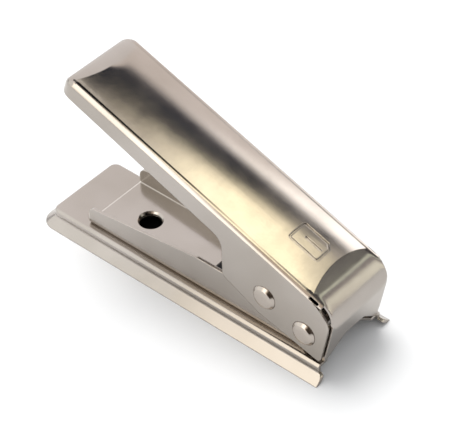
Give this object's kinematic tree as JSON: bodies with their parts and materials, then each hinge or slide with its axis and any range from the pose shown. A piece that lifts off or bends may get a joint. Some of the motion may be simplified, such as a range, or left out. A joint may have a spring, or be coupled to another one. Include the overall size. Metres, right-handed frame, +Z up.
{
  "type": "sim card cutter",
  "caption": "Hand press of plated sheet steel: a long lever drives a punch through a die to cut a phone card down.",
  "frame": {"origin": "middle of the footprint, at the level of the desk", "axes": "+Z up; X along the tool, with the pivot end at +X and the open handle end at -X; +Y across it"},
  "size_m": [0.1048, 0.0332, 0.0577],
  "materials": {
    "plated": "nickel plate, bright",
    "tool": "ground",
    "rivet": "nickel plate, domed heads",
    "screw": "zinc plated",
    "spring": "drawn wire"
  },
  "bodies": {
    "frame": {"base_plate": "plated", "frame_channel": "plated", "die_block": "tool", "guide_left": "tool", "guide_right": "tool", "card_stop": "tool", "punch_guide": "tool", "die_screws": "screw", "dowels": "screw", "guide_posts": "screw", "pivot_pin": "rivet", "pivot_tube": "screw", "pivot_washers": "screw", "spring_front": "spring", "spring_rear": "spring"},
    "lever": {"lever_cover": "plated", "drive_pin": "rivet", "drive_tube": "screw"},
    "punch": {"punch": "tool", "punch_bar": "tool", "bar_screws": "screw"}
  },
  "joints": [
    {"name": "lever_hinge", "type": "hinge", "parent": "frame", "child": "lever", "pos_m": [0.04368, 0, 0.0135], "axis": [0, -1, 0], "range_deg": [0, 19.3], "stiffness_Nm_per_rad": 0.3, "springref_deg": -14.32},
    {"name": "punch_slide", "type": "slide", "parent": "frame", "child": "punch", "axis": [0, 0, -1], "range_m": [0, 0.00478], "deforming": ["spring_front", "spring_rear"]}
  ],
  "couplings": [
    {"joint": "punch_slide", "follows": "lever_hinge", "m_per_rad": 0.014159}
  ]
}
